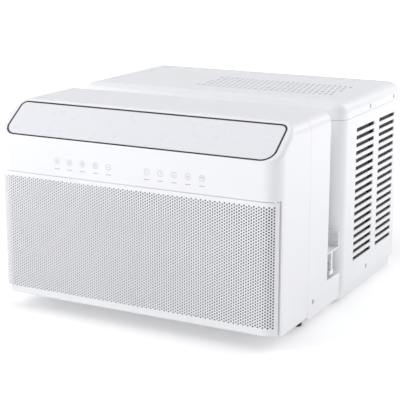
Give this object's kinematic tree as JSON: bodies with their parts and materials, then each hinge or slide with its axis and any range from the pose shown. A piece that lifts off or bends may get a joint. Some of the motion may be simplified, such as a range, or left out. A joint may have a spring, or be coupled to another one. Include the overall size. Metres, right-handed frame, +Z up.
{
  "type": "window air conditioner",
  "caption": "U-shaped window air conditioner: a front indoor half and a louvred outdoor half joined by a low bridge, with a channel between them for the window sash.",
  "frame": {"origin": "centre of the footprint, on the floor under the feet", "axes": "+X to the right seen from the room, +Y from the room to outdoors, +Z up"},
  "size_m": [0.5, 0.545, 0.342],
  "materials": {
    "white_plastic": "smooth satin cool white moulding",
    "door_plastic": "smooth satin, slightly greyer than the case",
    "black_rubber": "matt black rubber",
    "dark_plastic": "matt black moulding",
    "grey_plastic": "matt light grey moulding",
    "filter_mesh": "dark woven mesh in a plastic frame",
    "foam": "expanded polystyrene",
    "galvanised": "galvanised sheet steel",
    "fin_aluminium": "thin rolled aluminium fins",
    "copper": "bright copper tube",
    "circuit_board": "green solder mask",
    "motor_steel": "zinc plated motor can",
    "compressor_black": "black enamel",
    "fan_plastic": "dark glass filled plastic",
    "fastener": "zinc plated steel",
    "white_paint": "smooth satin white powder coat",
    "white_screw": "white painted steel"
  },
  "bodies": {
    "chassis": {"front_bezel": "white_plastic", "air_filter": "filter_mesh", "louver_seal": "black_rubber", "rear_housing": "white_plastic", "cord_gland": "dark_plastic", "scroll_casing": "foam", "outlet_duct": "dark_plastic", "louver_motor": "grey_plastic", "blower_bearing": "black_rubber", "blower_motor": "motor_steel", "evaporator_fins": "fin_aluminium", "evaporator_tubes": "copper", "drain_tray": "dark_plastic", "control_box": "galvanised", "control_board": "circuit_board", "display_board": "circuit_board", "bridge_foam": "foam", "arm_guide": "grey_plastic", "outdoor_case": "white_paint", "top_cover": "white_paint", "condenser_guard": "dark_plastic", "base_pan": "white_paint", "feet": "black_rubber", "condenser_fins": "fin_aluminium", "condenser_tubes": "copper", "fan_shroud": "grey_plastic", "fan_motor": "motor_steel", "motor_bracket": "galvanised", "compressor": "compressor_black", "accumulator": "compressor_black", "compressor_grommets": "black_rubber", "compressor_nuts": "fastener", "terminal_cover": "dark_plastic", "heat_sink": "fin_aluminium", "inverter_board": "circuit_board", "inverter_tray": "dark_plastic", "liquid_line": "copper", "suction_line": "copper", "discharge_line": "copper", "bezel_screws": "white_screw", "case_screws": "white_screw"},
    "grille": {"grille_panel": "white_plastic"},
    "louver": {"louver_door": "door_plastic"},
    "blower": {"blower_wheel": "fan_plastic"},
    "fan": {"condenser_fan": "fan_plastic"},
    "arm_left": {"side_arm_left": "white_plastic"},
    "arm_right": {"side_arm_right": "white_plastic"},
    "vane_left_1": {"vane_left_1": "dark_plastic"},
    "vane_left_2": {"vane_left_2": "dark_plastic"},
    "vane_left_3": {"vane_left_3": "dark_plastic"},
    "vane_left_4": {"vane_left_4": "dark_plastic"},
    "vane_link_left": {"vane_link_left": "dark_plastic"},
    "vane_right_1": {"vane_right_1": "dark_plastic"},
    "vane_right_2": {"vane_right_2": "dark_plastic"},
    "vane_right_3": {"vane_right_3": "dark_plastic"},
    "vane_right_4": {"vane_right_4": "dark_plastic"},
    "vane_link_right": {"vane_link_right": "dark_plastic"}
  },
  "joints": [
    {"name": "grille_hinge", "type": "hinge", "parent": "chassis", "child": "grille", "pos_m": [0, -0.26, 0.0295], "axis": [1, 0, 0], "range_deg": [0, 45]},
    {"name": "louver_hinge", "type": "hinge", "parent": "chassis", "child": "louver", "pos_m": [0, -0.2421, 0.3004], "axis": [1, 0, 0], "range_deg": [0, 80]},
    {"name": "arm_left_slide", "type": "slide", "parent": "chassis", "child": "arm_left", "axis": [-1, 0, 0], "range_m": [0, 0.19]},
    {"name": "arm_right_slide", "type": "slide", "parent": "chassis", "child": "arm_right", "axis": [1, 0, 0], "range_m": [0, 0.19]},
    {"name": "blower_spin", "type": "hinge", "parent": "chassis", "child": "blower", "pos_m": [0, -0.1425, 0.182], "axis": [1, 0, 0], "continuous": true},
    {"name": "fan_spin", "type": "hinge", "parent": "chassis", "child": "fan", "pos_m": [-0.075, 0.1675, 0.165], "axis": [0, 1, 0], "continuous": true},
    {"name": "vane_left_1_turn", "type": "hinge", "parent": "chassis", "child": "vane_left_1", "pos_m": [-0.17, -0.1895, 0.275], "axis": [0, 0.7071, 0.7071], "range_deg": [-35, 35]},
    {"name": "vane_left_2_turn", "type": "hinge", "parent": "chassis", "child": "vane_left_2", "pos_m": [-0.124, -0.1895, 0.275], "axis": [0, 0.7071, 0.7071], "range_deg": [-35, 35]},
    {"name": "vane_left_3_turn", "type": "hinge", "parent": "chassis", "child": "vane_left_3", "pos_m": [-0.078, -0.1895, 0.275], "axis": [0, 0.7071, 0.7071], "range_deg": [-35, 35]},
    {"name": "vane_left_4_turn", "type": "hinge", "parent": "chassis", "child": "vane_left_4", "pos_m": [-0.032, -0.1895, 0.275], "axis": [0, 0.7071, 0.7071], "range_deg": [-35, 35]},
    {"name": "vane_link_left_turn", "type": "hinge", "parent": "vane_left_1", "child": "vane_link_left", "pos_m": [-0.17, -0.16758, 0.28419], "axis": [0, 0.7071, 0.7071], "range_deg": [-35, 35]},
    {"name": "vane_right_1_turn", "type": "hinge", "parent": "chassis", "child": "vane_right_1", "pos_m": [0.014, -0.1895, 0.275], "axis": [0, 0.7071, 0.7071], "range_deg": [-35, 35]},
    {"name": "vane_right_2_turn", "type": "hinge", "parent": "chassis", "child": "vane_right_2", "pos_m": [0.06, -0.1895, 0.275], "axis": [0, 0.7071, 0.7071], "range_deg": [-35, 35]},
    {"name": "vane_right_3_turn", "type": "hinge", "parent": "chassis", "child": "vane_right_3", "pos_m": [0.106, -0.1895, 0.275], "axis": [0, 0.7071, 0.7071], "range_deg": [-35, 35]},
    {"name": "vane_right_4_turn", "type": "hinge", "parent": "chassis", "child": "vane_right_4", "pos_m": [0.152, -0.1895, 0.275], "axis": [0, 0.7071, 0.7071], "range_deg": [-35, 35]},
    {"name": "vane_link_right_turn", "type": "hinge", "parent": "vane_right_1", "child": "vane_link_right", "pos_m": [0.014, -0.16758, 0.28419], "axis": [0, 0.7071, 0.7071], "range_deg": [-35, 35]}
  ],
  "couplings": [
    {"joint": "vane_left_2_turn", "follows": "vane_left_1_turn", "ratio": 1},
    {"joint": "vane_left_3_turn", "follows": "vane_left_1_turn", "ratio": 1},
    {"joint": "vane_left_4_turn", "follows": "vane_left_1_turn", "ratio": 1},
    {"joint": "vane_link_left_turn", "follows": "vane_left_1_turn", "ratio": -1},
    {"joint": "vane_right_2_turn", "follows": "vane_right_1_turn", "ratio": 1},
    {"joint": "vane_right_3_turn", "follows": "vane_right_1_turn", "ratio": 1},
    {"joint": "vane_right_4_turn", "follows": "vane_right_1_turn", "ratio": 1},
    {"joint": "vane_link_right_turn", "follows": "vane_right_1_turn", "ratio": -1}
  ]
}
